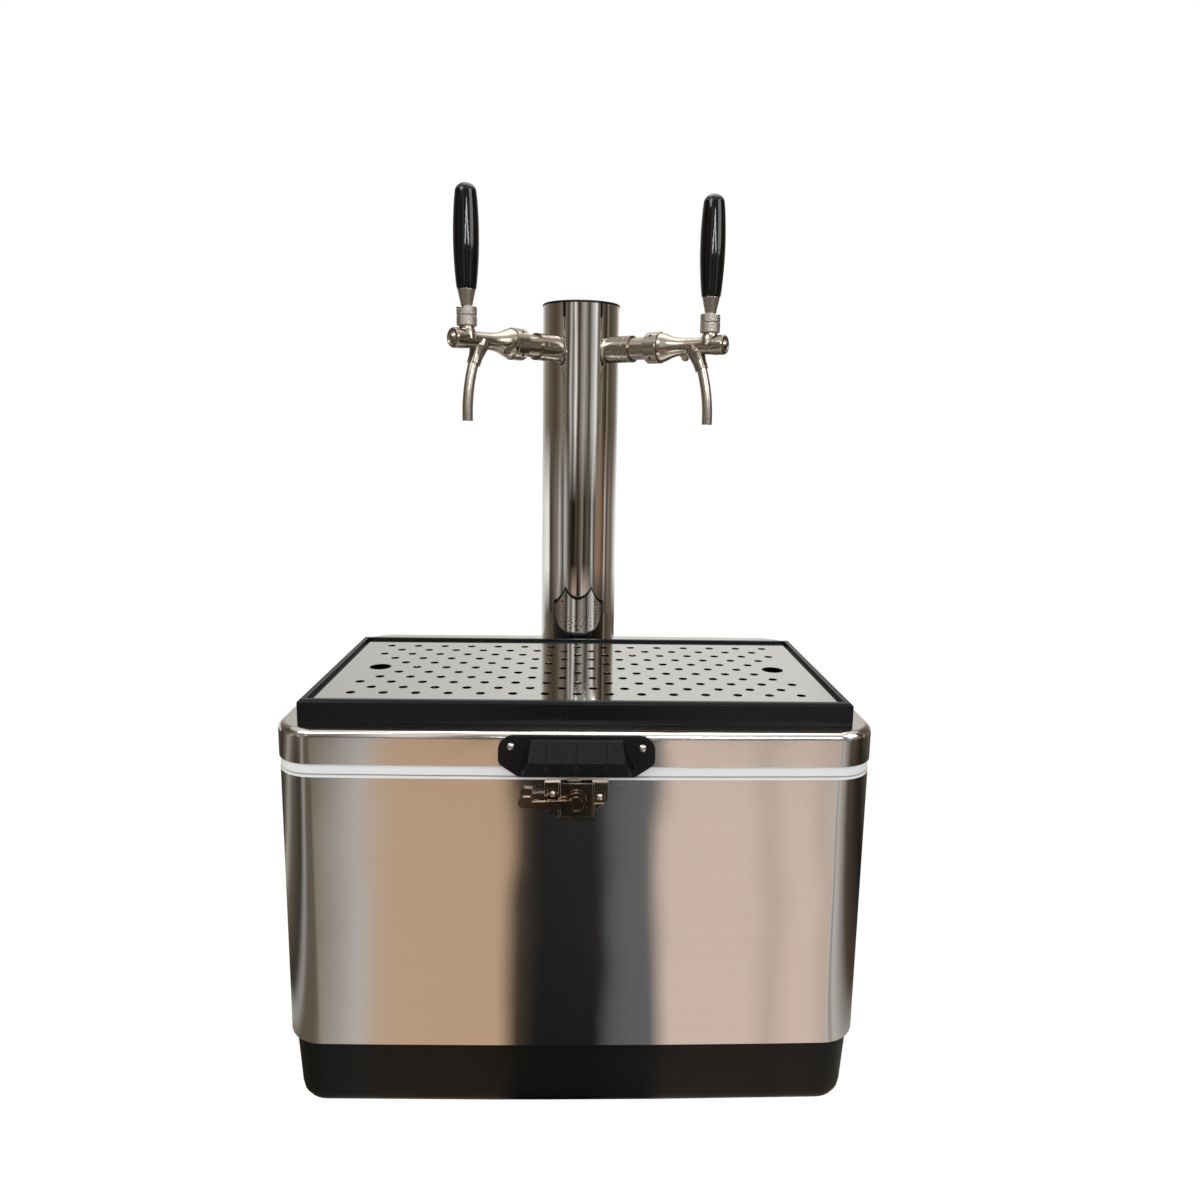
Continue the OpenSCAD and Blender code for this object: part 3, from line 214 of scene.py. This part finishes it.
# turned and cast metal: tool marks round the part show as fine noise, dull patches lie in between
def satinMetal(name, look):
    f = Finish(name)
    grain = f.noise(f.place(), look["grainScale"], 3.0, 0.6)
    patch = f.noise(f.place(), look["patchScale"], 3.0)
    tone = (grain * look["grainShare"] + patch * (1 - look["grainShare"])).between(*toneBand)
    colour = f.mix(tone, shade(look["colour"], 1 - look["spread"]), shade(look["colour"], 1 + look["spread"]))
    rough = look["rough"] + patch.swing() * look["roughSpread"]
    return f.surface(Base_Color=colour, Metallic=1.0, Roughness=rough,
                     Normal=f.bump(grain, look["bump"], look["depth"]))


# moulded plastic and rubber: a fine pebble, slight clouds and a few paler, duller scuffs
def moulded(name, look):
    f = Finish(name)
    pebble = f.noise(f.place(), look["pebbleScale"], 3.0, 0.55)
    cloud = f.noise(f.place(), look["cloudScale"], 3.0)
    scuff = f.noise(f.place(look["scuffStretch"]), detail=4.0, rough=0.7).between(*look["scuffBand"])
    tone = (pebble * look["pebbleShare"] + cloud * (1 - look["pebbleShare"])).between(*toneBand)
    body = f.mix(tone, shade(look["colour"], 1 - look["spread"]), shade(look["colour"], 1 + look["spread"]))
    colour = f.mix(scuff * look["scuff"], body, shade(look["scuffColour"], 1.0))
    rough = (look["rough"] + cloud.swing() * look["roughSpread"]
             + scuff * look["scuff"] * look["scuffRough"])
    return f.surface(Base_Color=colour, Roughness=rough, Specular_IOR_Level=look["specular"],
                     Normal=f.bump(pebble, look["bump"], look["depth"]))


# rigid foam: closed cells
def foamed(name, look):
    f = Finish(name)
    cells = f.add("ShaderNodeTexVoronoi", {"feature": "F1"},
                  {"Vector": f.place(), "Scale": look["cellScale"]})
    cloud = f.noise(f.place(), look["cloudScale"], 3.0)
    tone = (cells * look["cellTone"] + cloud * look["cloudTone"]).between(*wideBand)
    colour = f.mix(tone, shade(look["colour"], look["pale"]), shade(look["colour"], look["deep"]))
    return f.surface(Base_Color=colour, Roughness=look["rough"] + cloud.swing() * look["roughSpread"],
                     Normal=f.bump(cells, look["bump"], look["depth"]))


mirrorLook = {"colour": (0.80, 0.79, 0.775), "dullShade": 0.94, "dullBand": (0.45, 0.75), "dullShare": 0.6,
              "rough": 0.02, "roughSpread": 0.03, "waveStretch": (16, 16, 3.2), "waveBump": 0.5,
              "waveDepth": 0.0006, "smearScale": 9.0, "scratchStretch": (900, 900, 30),
              "scratchRough": 0.5, "scratchBump": 0.03, "scratchDepth": 0.00005}
plateLook = dict(mirrorLook, colour=(0.70, 0.695, 0.68), rough=0.05, waveStretch=(9, 5, 9), waveBump=0.25,
                 waveDepth=0.0004, scratchStretch=(30, 900, 900))
tapLook = dict(mirrorLook, colour=(0.42, 0.37, 0.315), dullShade=0.92, rough=0.21, roughSpread=0.05,
               waveStretch=(20, 20, 20), waveBump=0.05, waveDepth=0.0001, smearScale=50.0,
               scratchStretch=(300, 300, 300), scratchBump=0.003)
spoutLook = dict(tapLook, colour=(0.50, 0.45, 0.385), rough=0.28)
nickelLook = dict(tapLook, colour=(0.30, 0.24, 0.18), rough=0.16, dullShade=0.7, smearScale=120.0)
# the latch's bevelled edges: a pale colour that stands in for the light they catch, a painted highlight
edgeHighlightLook = dict(tapLook, colour=(0.92, 0.80, 0.66), rough=0.30, dullShade=0.8, smearScale=300.0)
satinRingLook = {"colour": (0.47, 0.44, 0.405), "spread": 0.03, "rough": 0.48, "roughSpread": 0.08,
                 "grainScale": 900.0, "grainShare": 0.5, "patchScale": 60.0, "bump": 0.02, "depth": 0.0001}
turnedLook = dict(satinRingLook, colour=(0.68, 0.67, 0.65), rough=0.26, bump=0.12)
sheetLook = dict(satinRingLook, colour=(0.64, 0.635, 0.625), rough=0.34, grainScale=700.0, bump=0.10)
castLook = dict(satinRingLook, colour=(0.72, 0.73, 0.74), rough=0.42, grainScale=350.0, bump=0.5,
                depth=0.0003)
screwLook = dict(satinRingLook, colour=(0.74, 0.72, 0.69), rough=0.22, grainScale=1200.0, bump=0.1)
baseLook = {"colour": (0.0062, 0.0060, 0.0052), "spread": 0.15, "rough": 0.46, "roughSpread": 0.12,
            "pebbleScale": 900.0, "pebbleShare": 0.4, "cloudScale": 14.0, "scuff": 0.06,
            "scuffColour": (0.03, 0.03, 0.028), "scuffStretch": (30, 30, 6), "scuffBand": (0.58, 0.78),
            "scuffRough": 0.3, "bump": 0.15, "depth": 0.0002, "specular": 0.16}
handleLook = dict(baseLook, colour=(0.0060, 0.0070, 0.0078), rough=0.28, pebbleScale=1300.0,
                  cloudScale=40.0, bump=0.05, scuff=0.04, specular=0.2)
railLook = dict(handleLook, colour=(0.0052, 0.0060, 0.0072), rough=0.26, roughSpread=0.08, bump=0.03)
gripLook = dict(baseLook, colour=(0.0022, 0.0022, 0.0030), rough=0.07, roughSpread=0.03, bump=0.0,
                scuff=0.01, specular=0.5)
whiteLook = dict(baseLook, colour=(0.76, 0.765, 0.755), spread=0.02, rough=0.36, roughSpread=0.1,
                 pebbleScale=700.0, cloudScale=9.0, scuff=0.10, scuffColour=(0.55, 0.54, 0.52),
                 bump=0.08, specular=0.5)
rubberLook = dict(baseLook, colour=(0.03, 0.03, 0.03), rough=0.62, pebbleScale=1500.0)
foamLook = {"colour": (0.80, 0.70, 0.44), "pale": 1.08, "deep": 0.8, "cellScale": 600.0, "cellTone": 0.7,
            "cloudScale": 12.0, "cloudTone": 0.5, "rough": 0.85, "roughSpread": 0.1, "bump": 0.6,
            "depth": 0.0004}

finishes = {
    "brushed": brushedSheet("brushedWall", False), "brushedTop": brushedSheet("brushedTop", True),
    "mirror": polished("polishedColumn", mirrorLook), "plate": polished("polishedPlate", plateLook),
    "tap": polished("polishedTap", tapLook), "spout": polished("satinSpout", spoutLook),
    "nickel": polished("agedNickel", nickelLook), "worn": polished("paintedEdgeHighlight", edgeHighlightLook),
    "satin": satinMetal("blastedRing", satinRingLook), "turned": satinMetal("turnedSteel", turnedLook),
    "sheet": satinMetal("satinSheet", sheetLook), "cast": satinMetal("castAluminium", castLook),
    "screw": satinMetal("screwHead", screwLook), "base": moulded("pebbledBase", baseLook),
    "handle": moulded("handlePlastic", handleLook), "rail": moulded("trayRail", railLook),
    "grip": moulded("glossyGrip", gripLook), "white": moulded("whitePlastic", whiteLook),
    "rubber": moulded("softRubber", rubberLook), "foam": foamed("rigidFoam", foamLook),
}
print("finishes made:", len(finishes))


def clearSelection():
    if bpy.context.object and bpy.context.object.mode != "OBJECT":
        bpy.ops.object.mode_set(mode="OBJECT")
    bpy.ops.object.select_all(action="DESELECT")


def pickOnly(piece):
    clearSelection()
    piece.select_set(True)
    bpy.context.view_layer.objects.active = piece


def applyModifiers(piece):
    pickOnly(piece)
    for modifier in list(piece.modifiers):
        bpy.ops.object.modifier_apply(modifier=modifier.name)


# the weld in metres, the angles in degrees
dressing = {"weld": 2e-6, "flat": 0.4, "crease": 32, "smoothOver": 40}


# a node's own solid with its edges broken, by a width in millimetres, and its round faces smooth
def dressed(node, finish, edge, steps=2):
    words = node.split("_")
    name = words[0] + "".join(word.capitalize() for word in words[1:])
    piece = bpy.data.objects.new(name, nodes[node].data.copy())
    bpy.context.scene.collection.objects.link(piece)
    piece.data.materials.clear()
    piece.data.materials.append(finishes[finish])
    pickOnly(piece)
    bpy.ops.mesh.customdata_custom_splitnormals_clear()
    bpy.ops.object.mode_set(mode="EDIT")
    bpy.ops.mesh.select_all(action="SELECT")
    bpy.ops.mesh.remove_doubles(threshold=dressing["weld"])
    bpy.ops.mesh.dissolve_limited(angle_limit=math.radians(dressing["flat"]))
    bpy.ops.object.mode_set(mode="OBJECT")
    if edge:
        bevel = piece.modifiers.new("brokenEdges", "BEVEL")
        if finish == "nickel":  # the latch's edges get a pale cream colour: a painted highlight along each edge
            piece.data.materials.append(finishes["worn"])
            bevel.material = 1
        bevel.width = edge / 1000
        bevel.segments = steps
        bevel.limit_method = "ANGLE"
        bevel.angle_limit = math.radians(dressing["crease"])
        bevel.miter_outer = "MITER_ARC"
        applyModifiers(piece)
    bpy.ops.object.shade_smooth_by_angle(angle=math.radians(dressing["smoothOver"]))
    piece.modifiers.new("flatFaces", "WEIGHTED_NORMAL").keep_sharp = True
    applyModifiers(piece)
    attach(piece, bodyOf[node])
    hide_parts(node)
    return piece


# a moulded piece: its solid as one skin of small faces, then relaxed so that every edge runs out softly
def softened(piece, grain, rounds):
    skin = piece.modifiers.new("oneSkin", "REMESH")
    skin.mode = "VOXEL"
    skin.voxel_size = grain / 1000
    relax = piece.modifiers.new("relaxed", "SMOOTH")
    relax.factor = 0.5
    relax.iterations = rounds
    applyModifiers(piece)
    bpy.ops.object.shade_smooth()


# each piece's finish, the width of its broken edges in millimetres and, on the latch, their steps
dressedNodes = {
    "base_pan": ("base", 0.8), "steel_belt": ("brushed", 0.0), "inner_liner": ("white", 0.6),
    "latch_plate": ("nickel", 0.7, 3), "latch_lever": ("nickel", 0.8, 3), "latch_keeper": ("sheet", 0.2),
    "hinge_body_leaves": ("sheet", 0.3), "hinge_pins": ("turned", 0.3), "body_screws": ("screw", 0.2),
    "end_brackets": ("sheet", 0.5), "drain_spout": ("white", 0.5), "drain_cap": ("white", 0.5),
    "cold_plate": ("cast", 1.0), "cold_plate_feet": ("rubber", 0.8), "cold_plate_nipples": ("turned", 0.1),
    "beer_inlets": ("turned", 0.2), "inlet_nuts": ("turned", 0.4), "lid_skin": ("brushed", 0.0),
    "lid_liner": ("white", 0.5), "lid_seal": ("rubber", 0.4), "lid_handle": ("handle", 0.0),
    "lid_screws": ("screw", 0.2), "hinge_lid_leaves": ("sheet", 0.3), "drip_pan": ("rail", 0.6),
    "tower_flange": ("mirror", 0.6), "tower_bolts": ("screw", 0.3), "tower_tube": ("mirror", 0.0),
    "tower_cap": ("rail", 0.4), "tap_shanks": ("tap", 0.25), "shank_collars": ("tap", 0.4),
    "shank_nuts": ("turned", 0.4), "coupling_nuts": ("tap", 0.3), "tap_body_left": ("tap", 0.25),
    "tap_body_right": ("tap", 0.25), "end_caps": ("tap", 0.25), "bonnet_nuts": ("satin", 0.3),
    "bonnet_caps": ("satin", 0.3), "spout_left": ("spout", 0.2), "spout_right": ("spout", 0.2),
    "tray_grate": ("plate", 0.2), "end_bail_left": ("turned", 0.2), "end_bail_right": ("turned", 0.2),
    "end_grip_left": ("handle", 0.6), "end_grip_right": ("handle", 0.6),
    "handle_stem_left": ("turned", 0.1), "handle_stem_right": ("turned", 0.1),
    "handle_ferrule_left": ("spout", 0.3), "handle_ferrule_right": ("spout", 0.3),
    "handle_grip_left": ("grip", 0.0), "handle_grip_right": ("grip", 0.0),
    "plunger_left": ("turned", 0.1), "plunger_right": ("turned", 0.1),
    "flow_lever_left": ("tap", 0.3), "flow_lever_right": ("tap", 0.3),
    "compensator_left": ("turned", 0.1), "compensator_right": ("turned", 0.1),
}
pieces = {node: dressed(node, *look) for node, look in dressedNodes.items()}
print("pieces dressed:", len(pieces))

plainNodes = {"body_foam": "foam", "lid_foam": "foam"}  # never seen: their own solids, with a finish
for node, finish in plainNodes.items():
    nodes[node].data.materials.clear()
    nodes[node].data.materials.append(finishes[finish])

# the grain in millimetres and the rounds of relaxing
softNodes = {"lid_handle": (0.55, 9), "spout_left": (0.45, 8), "spout_right": (0.45, 8)}
for node, (grain, rounds) in softNodes.items():
    softened(pieces[node], grain, rounds)
    print(node, "softened:", len(pieces[node].data.polygons), "faces")

# the lid's top is brushed from side to side
lidTop = {"finish": "brushedTop", "leastUp": 0.8}
skin = pieces["lid_skin"].data
skin.materials.append(finishes[lidTop["finish"]])
for face in skin.polygons:
    if abs(face.normal.z) > lidTop["leastUp"]:
        face.material_index = 1


# studio: pale floor, soft lamps, and a cove of coloured cards that only reflections see
studio = {"floorSize": 14.0, "floorDrop": 0.0005, "floorGlow": 0.93, "glowStrength": 1.05,
          "paper": ((0.86, 0.86, 0.855, 1), (0.88, 0.88, 0.88, 1)), "paperScale": 3.0,
          "skyLight": 0.62, "ceiling": (0.78, 0.74, 0.68, 1), "lampShine": 0.25, "lampAim": (0, 0, 0.45),
          "lamps": [("keyLamp", (-1.5, -1.5, 2.3), 1.3, 26.0), ("fillLamp", (1.7, -1.1, 1.7), 1.1, 12.0),
                    ("topLamp", (0.2, 0.5, 2.6), 1.6, 16.0)]}
white = (1, 1, 1, 1)
bpy.ops.mesh.primitive_plane_add(size=studio["floorSize"], location=(0, 0, -studio["floorDrop"]))
floor = bpy.context.object
floor.name = "paleFloor"
f = Finish("palePaper")
cameraRay, glossyRay = f.several("ShaderNodeLightPath", ("Is Camera Ray", "Is Glossy Ray"))
paper = f.mix(f.noise(f.place(), studio["paperScale"], 3.0), *studio["paper"])
diffuse = f.add("ShaderNodeBsdfDiffuse", {}, {"Color": paper})
glow = f.add("ShaderNodeEmission", {}, {"Color": white, "Strength": studio["glowStrength"]})
shown = (cameraRay + glossyRay).between(0, 1) * studio["floorGlow"]
floorMix = f.add("ShaderNodeMixShader", {}, {0: shown, 1: diffuse, 2: glow})
f.add("ShaderNodeOutputMaterial", {}, {"Surface": floorMix})
floor.data.materials.append(f.holder)

world = bpy.data.worlds.new("paleStudio")
bpy.context.scene.world = world
f = Finish("paleStudio", world)
rayNames = ("Is Camera Ray", "Is Transmission Ray", "Is Glossy Ray")
cameraRay, passedRay, glossyRay = f.several("ShaderNodeLightPath", rayNames)
full = (cameraRay + passedRay).between(0, 1) + glossyRay
strength = full * (1 - studio["skyLight"]) + studio["skyLight"]
backdrop = f.add("ShaderNodeBackground", {}, {"Color": f.mix(glossyRay, white, studio["ceiling"]),
                                              "Strength": strength})
f.add("ShaderNodeOutputWorld", {}, {"Surface": backdrop})

for name, where, size, power in studio["lamps"]:
    lamp = bpy.data.lights.new(name, "AREA")
    lamp.size = size
    lamp.energy = power
    lamp.specular_factor = studio["lampShine"]
    holder = bpy.data.objects.new(name, lamp)
    bpy.context.scene.collection.objects.link(holder)
    aim = (Vector(where) - Vector(studio["lampAim"])).to_track_quat("Z", "Y")
    holder.matrix_world = Matrix.Translation(where) @ aim.to_matrix().to_4x4()

# the cove's colours by direction, in degrees to the right of straight ahead of the object's front: the
# floor's cards make the walls' broad bands, the low ones the streaks at the column's foot, and the high
# ones those at its top; lowRow and highRow are the heights in metres over which each takes over
cove = {"reach": 2.3, "height": 2.4, "foot": 0.05, "lift": 0.0004, "sides": 128, "strength": 1.0,
        "seenFrom": 0.63, "lowRow": (0.02, 0.2), "highRow": (0.45, 0.75),
        "floor": [(-180, "grey"), (-140, "light"), (-108, "olive"), (-80, "dark"), (-66, "olive"),
                  (-58, "grey"), (-50, "olive"), (-34, "dark"), (-30, "grey"), (-27, "olive"),
                  (-20.2, "olive"), (-18.8, "taupe"), (-15.0, "silver"), (-13.8, "tan"), (-5.6, "tan"),
                  (-4.1, "black"), (2.0, "black"), (3.0, "dim"), (5.9, "dim"), (7.0, "beige"),
                  (12.8, "beige"), (13.5, "brown"), (14.2, "beige"), (17.2, "beige"), (17.8, "brown"),
                  (18.4, "beige"), (20.0, "silver"), (21.4, "taupe"), (22.6, "silver"), (34, "brown"),
                  (58, "black"), (96, "olive")],
        "low": [(-180, "silver"), (-135, "light"), (-98, "bright"), (-88, "dark"), (-59, "taupe"),
                (-52, "silver"), (-44, "black"), (-37, "silver"), (-28, "olive"), (-22, "dark"),
                (-14, "black"), (-8, "brown"), (-3, "dark"), (3, "olive"), (8, "taupe"), (13, "black"),
                (22, "olive"), (28, "dark"), (34, "silver"), (39, "brown"), (46, "taupe"), (58, "rust"),
                (66, "brown"), (72, "silver"), (79, "dark"), (90, "taupe"), (104, "olive"),
                (126, "silver"), (150, "bright")],
        "high": [(-180, "light"), (-146, "silver"), (-118, "taupe"), (-92, "olive"), (-70, "brown"),
                 (-58, "olive"), (-44, "taupe"), (-34, "olive"), (-29, "dark"), (-24, "silver"),
                 (-18, "olive"), (-13, "bright"), (-8, "olive"), (-4, "dark"), (2, "taupe"), (9, "grey"),
                 (16, "taupe"), (22, "dark"), (28, "grey"), (34, "silver"), (39, "bright"), (45, "olive"),
                 (54, "taupe"), (62, "brown"), (70, "dark"), (76, "taupe"), (84, "brown"), (104, "olive"),
                 (126, "taupe"), (150, "light")],
        "colours": {"black": (0.010, 0.010, 0.0095), "dark": (0.036, 0.028, 0.021),
                    "dim": (0.13, 0.135, 0.14), "brown": (0.085, 0.060, 0.042),
                    "olive": (0.135, 0.108, 0.080), "taupe": (0.27, 0.225, 0.18), "rust": (0.30, 0.16, 0.07),
                    "grey": (0.44, 0.43, 0.41), "silver": (0.60, 0.585, 0.56), "light": (0.78, 0.77, 0.74),
                    "bright": (1.0, 0.98, 0.94), "tan": (0.62, 0.43, 0.285), "beige": (0.78, 0.62, 0.53)}}
ripples = {"floor": 0.004, "wall": 0.022, "perMetre": 2.6}  # shares of a full turn that the edges wander
# a lit window shaped like a roof, whose reflection stands on the grips; its slopes are in degrees a metre
window = {"foot": 1.3, "peak": 1.9, "towards": 8, "slope": 20, "half": 3.5, "blur": 1, "strength": 11}
clearSelection()
bpy.ops.mesh.primitive_circle_add(vertices=cove["sides"], radius=cove["foot"], location=(0, 0, cove["lift"]))
ring = bpy.context.object
ring.name = "reflectionCove"
bpy.ops.object.mode_set(mode="EDIT")
bpy.ops.mesh.select_all(action="SELECT")
bpy.ops.mesh.extrude_region_move()
bpy.ops.transform.resize(value=(cove["reach"] / cove["foot"],) * 2 + (1,))
bpy.ops.mesh.extrude_region_move(TRANSFORM_OT_translate={"value": (0, 0, cove["height"])})
bpy.ops.object.mode_set(mode="OBJECT")
f = Finish("coveCards")
x, y, z = f.several("ShaderNodeSeparateXYZ", (0, 1, 2), {0: f.add("ShaderNodeTexCoord", out=3)})
turn = f.add("ShaderNodeMath", {"operation": "ARCTAN2"}, {0: x, 1: cove["seenFrom"] - y}) * (180 / math.pi)
ripple = f.noise(f.place(), ripples["perMetre"], 3.0).swing() * 360


def cardRow(row, share):
    stops = [(0.5 + degrees / 360, cove["colours"][name]) for degrees, name in cove[row]]
    return f.add("ShaderNodeValToRGB", {"stops": stops}, {0: (turn + ripple * share) / 360 + 0.5})


walls = f.mix(z.between(*cove["highRow"]), cardRow("low", ripples["wall"]), cardRow("high", ripples["wall"]))
cards = f.mix(z.between(*cove["lowRow"]), cardRow("floor", ripples["floor"]), walls)
aside = (turn - window["towards"]).size() - (window["peak"] - z) * window["slope"]
edge = aside.size().between(window["half"] - window["blur"], window["half"] + window["blur"])
lit = (1 - edge) * z.above(window["foot"])
shine = f.add("ShaderNodeEmission", {}, {"Color": f.mix(lit, cards, white),
                                         "Strength": lit * window["strength"] + cove["strength"]})
f.add("ShaderNodeOutputMaterial", {}, {"Surface": shine})
ring.data.materials.append(f.holder)
ring.visible_camera = False
ring.visible_diffuse = False
ring.visible_shadow = False
ring.visible_transmission = False
print("studio set")
